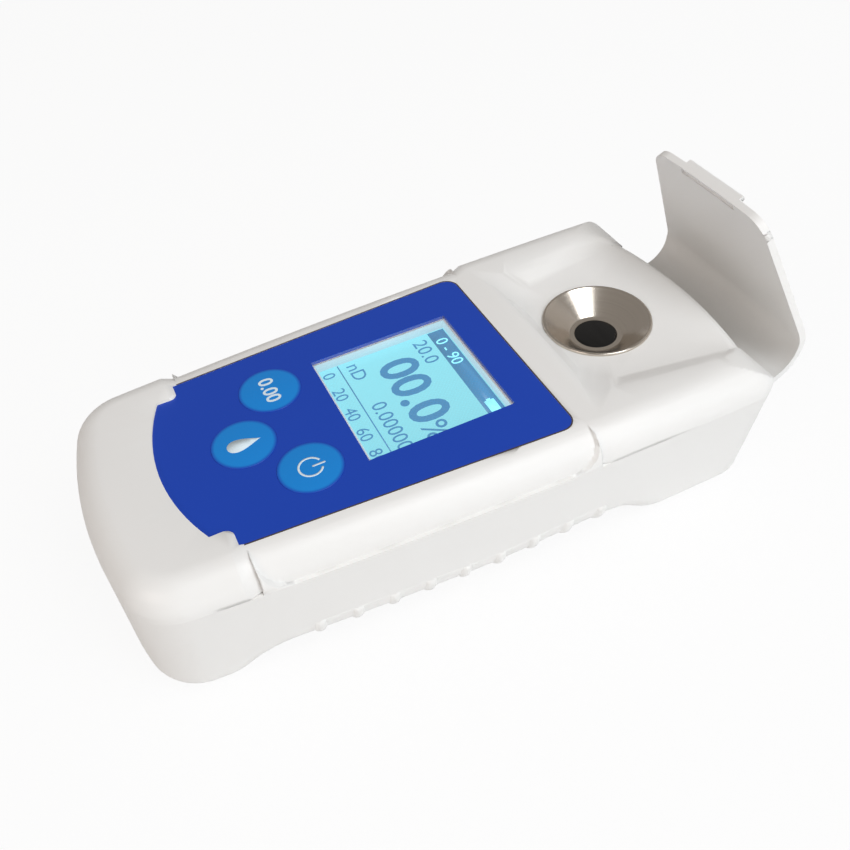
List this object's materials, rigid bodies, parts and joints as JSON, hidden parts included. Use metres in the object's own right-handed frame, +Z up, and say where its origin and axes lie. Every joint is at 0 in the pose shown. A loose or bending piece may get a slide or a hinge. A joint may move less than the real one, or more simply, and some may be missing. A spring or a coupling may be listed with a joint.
{
  "type": "digital refractometer",
  "caption": "Hand-held digital refractometer: white waisted case, blue keypad overlay, lit display, round steel sample dish over a dark prism, and a hinged splash lid that is open.",
  "frame": {"origin": "on the plane the case rests on, straight below the middle of the display", "axes": "+X runs from the key end to the dish end and is the long way of the case, +Y is across, +Z is up out of the display; the case is the same on both sides of the XZ plane"},
  "size_m": [0.1489, 0.0656, 0.0615],
  "materials": {
    "case_plastic": "warm white moulded ABS with a fine satin texture",
    "overlay_film": "royal blue printed polyester overlay, satin",
    "key_film": "bright blue embossed polyester key",
    "clear_window": "clear polycarbonate window",
    "display_glass": "liquid crystal glass lit pale cyan from below",
    "light_guide": "milky acrylic light guide",
    "inner_plastic": "black glass-filled nylon",
    "flex_film": "amber polyimide film",
    "board": "green solder mask over glass epoxy",
    "chips": "black moulded epoxy",
    "bright_metal": "nickel-plated steel",
    "dish_steel": "turned stainless steel",
    "seal_rubber": "black nitrile rubber",
    "prism_glass": "polished glass, dark from the chamber below it",
    "lamp_lens": "clear epoxy lamp",
    "lens_glass": "polished optical glass",
    "cell_wrap": "grey printed sleeve"
  },
  "bodies": {
    "housing": {"top_cover": "case_plastic", "bottom_shell": "case_plastic", "keypad_overlay": "overlay_film", "display_window": "clear_window", "lcd_panel": "display_glass", "backlight_panel": "light_guide", "lcd_frame": "inner_plastic", "lcd_flex": "flex_film", "main_board": "board", "board_chips": "chips", "quartz_crystal": "bright_metal", "tact_switches": "chips", "sample_dish": "dish_steel", "dish_gasket": "seal_rubber", "prism": "prism_glass", "prism_seal": "seal_rubber", "optics_block": "inner_plastic", "led_board": "board", "light_source": "lamp_lens", "slit_disc": "bright_metal", "collimator_lens": "lens_glass", "image_sensor": "chips", "sensor_board": "board", "temperature_sensor": "bright_metal", "hinge_pins": "bright_metal", "battery_cells": "cell_wrap", "battery_contacts": "bright_metal", "battery_springs": "bright_metal", "case_screws": "bright_metal", "board_screws": "bright_metal", "optics_screws": "bright_metal"},
    "lid": {"lid": "case_plastic"},
    "zero_key": {"zero_key": "key_film"},
    "measure_key": {"measure_key": "key_film"},
    "power_key": {"power_key": "key_film"},
    "battery_door": {"battery_door": "case_plastic"}
  },
  "joints": [
    {"name": "lid_hinge", "type": "hinge", "parent": "housing", "child": "lid", "pos_m": [0.0652, 0, 0.0212], "axis": [0, 1, 0], "range_deg": [-66, 24]},
    {"name": "zero_key_press", "type": "slide", "parent": "housing", "child": "zero_key", "axis": [0, 0, -1], "range_m": [0, 0.0004], "stiffness_N_per_m": 600, "springref_m": -0.0005},
    {"name": "measure_key_press", "type": "slide", "parent": "housing", "child": "measure_key", "axis": [0, 0, -1], "range_m": [0, 0.0004], "stiffness_N_per_m": 600, "springref_m": -0.0005},
    {"name": "power_key_press", "type": "slide", "parent": "housing", "child": "power_key", "axis": [0, 0, -1], "range_m": [0, 0.0004], "stiffness_N_per_m": 600, "springref_m": -0.0005},
    {"name": "battery_door_hinge", "type": "hinge", "parent": "housing", "child": "battery_door", "pos_m": [0.01575, 0, 0.0072], "axis": [0, -1, 0], "range_deg": [0, 75]}
  ]
}
